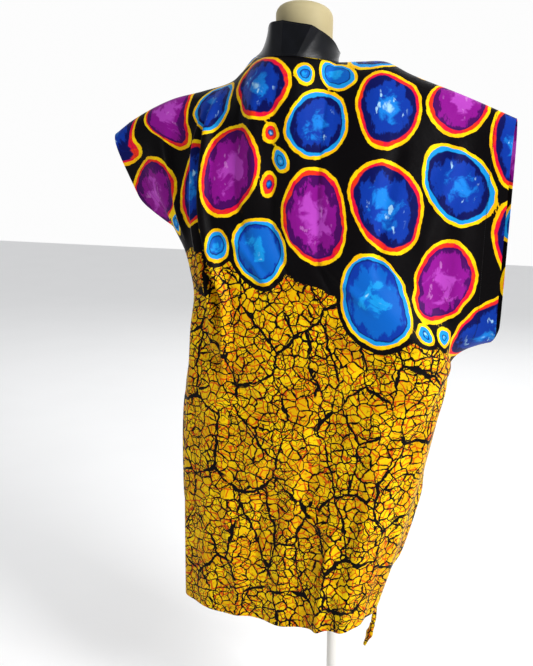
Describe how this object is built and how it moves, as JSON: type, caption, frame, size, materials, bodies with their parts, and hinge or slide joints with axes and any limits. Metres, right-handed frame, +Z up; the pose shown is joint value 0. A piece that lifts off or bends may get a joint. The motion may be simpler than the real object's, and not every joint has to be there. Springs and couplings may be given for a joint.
{
  "type": "kimono and shorts set on a dress form",
  "caption": "Short open-front cotton kimono robe with cut-in sleeves and a standing neckband, over matching shorts, worn by a limbless dress form on a round stand.",
  "frame": {"origin": "centre of the stand base's underside, on the floor", "axes": "+Z up; the front of the garments faces -Y; the wearer's right is -X"},
  "size_m": [0.7844, 0.3552, 1.5078],
  "materials": {
    "robe_print": "crisp printed cotton, slight sheen",
    "crackle_print": "crisp printed cotton, slight sheen",
    "neckband": "smooth satin weave",
    "form_cover": "matt",
    "stand_paint": "semi-gloss"
  },
  "bodies": {
    "root": {"robe_back": "robe_print", "robe_front_right": "robe_print", "robe_front_left": "robe_print", "collar_right": "neckband", "collar_left": "neckband", "tie_right": "crackle_print", "tie_left": "crackle_print", "shorts_right_leg": "crackle_print", "shorts_left_leg": "crackle_print", "shorts_waistband": "crackle_print", "form_torso": "form_cover", "stand_pole": "stand_paint", "stand_base": "stand_paint"}
  },
  "joints": []
}
